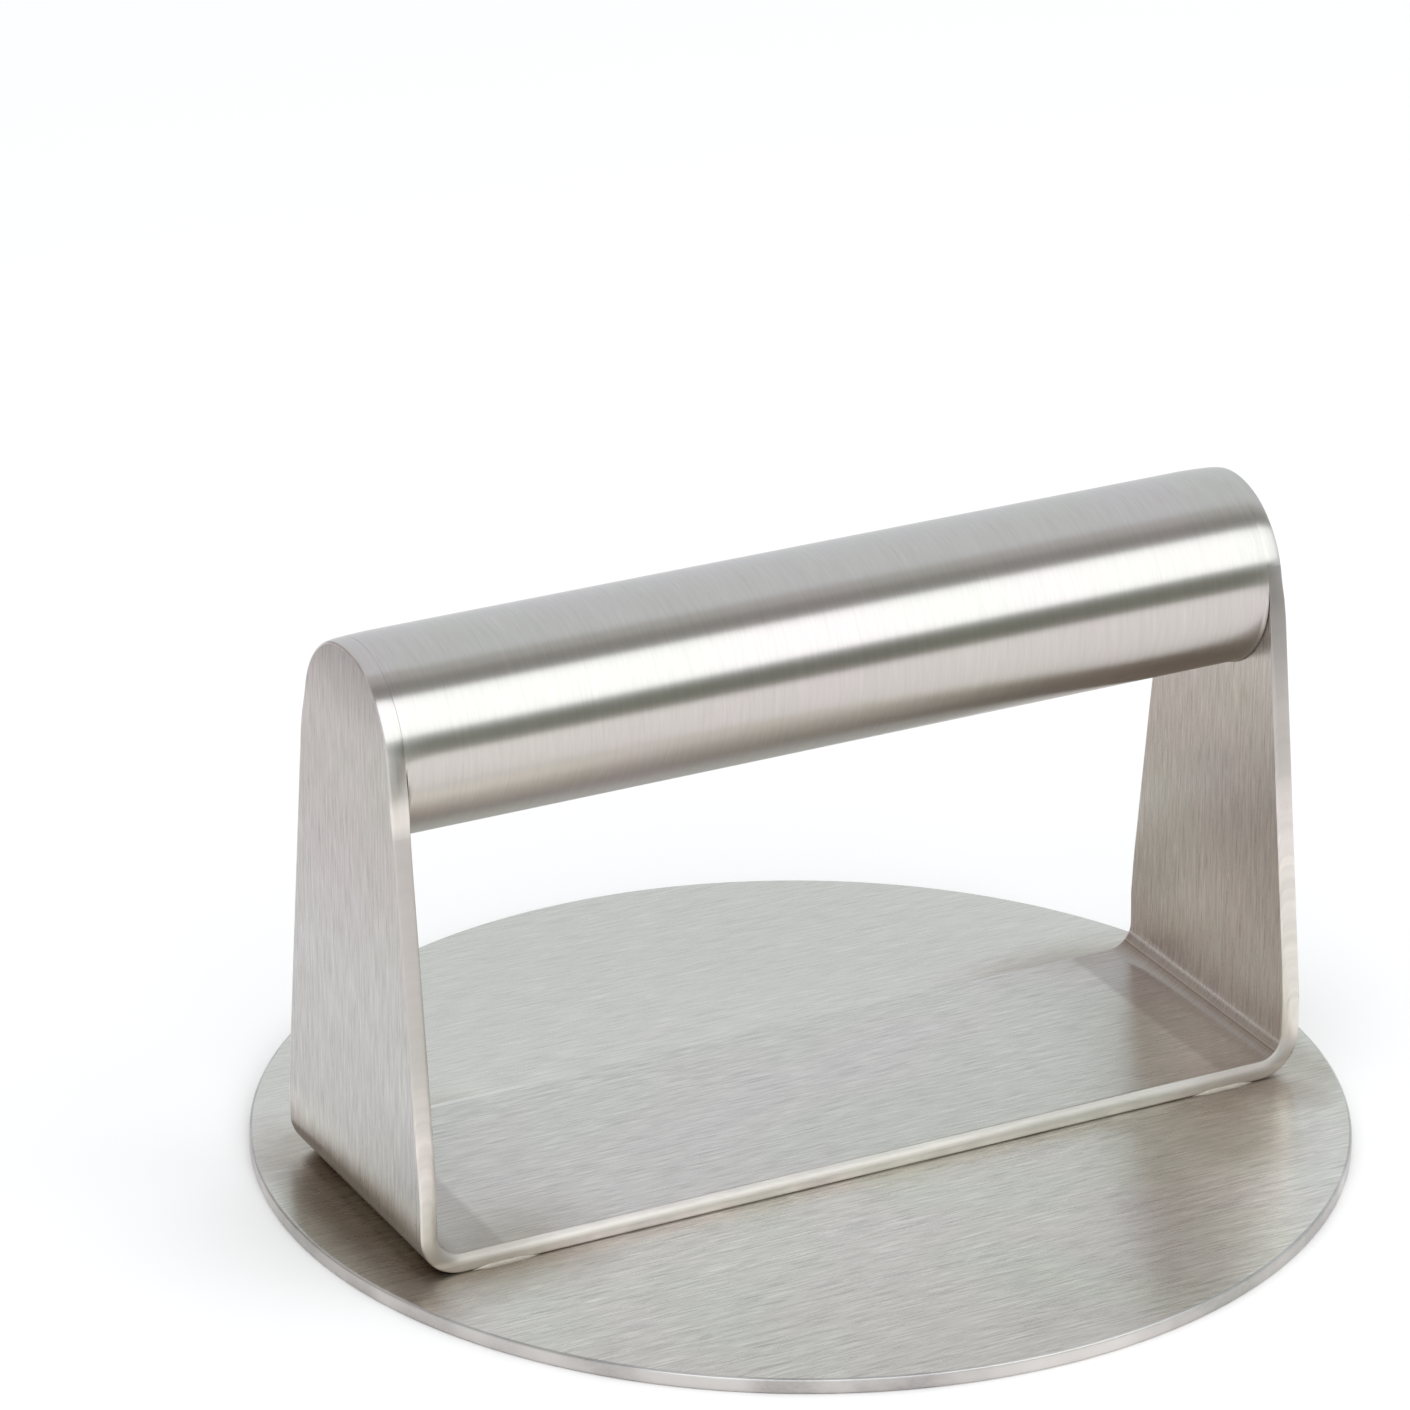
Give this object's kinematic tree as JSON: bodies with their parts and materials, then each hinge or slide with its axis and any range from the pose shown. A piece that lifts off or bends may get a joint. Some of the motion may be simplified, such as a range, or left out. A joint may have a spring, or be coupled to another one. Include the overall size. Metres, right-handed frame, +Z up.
{
  "type": "bacon press",
  "caption": "Round stainless steel press: a thin flat disc with a bent sheet bracket across it that carries a tube handle, for pressing bacon, burgers and sandwiches on a griddle.",
  "frame": {"origin": "middle of the disc's underside, the face that presses the food", "axes": "+X along the tube handle, +Y across it, +Z up from the pressing face to the handle"},
  "size_m": [0.14, 0.14, 0.0785],
  "materials": {
    "plate_steel": "brushed along X with fine scratches, satin",
    "bracket_steel": "brushed along the strip and up the legs, satin, with brighter cut edges",
    "tube_steel": "brushed around the tube, semi-bright",
    "ground_weld": "weld ground flush and brushed",
    "tinted_weld": "small fillet weld with a straw to bronze heat tint"
  },
  "bodies": {
    "root": {"base_plate": "plate_steel", "handle_bracket": "bracket_steel", "handle_tube": "tube_steel", "tube_weld_left": "ground_weld", "tube_weld_right": "ground_weld", "seam_weld_front_left": "tinted_weld", "seam_weld_front_right": "tinted_weld", "seam_weld_back_left": "tinted_weld", "seam_weld_back_right": "tinted_weld"}
  },
  "joints": []
}
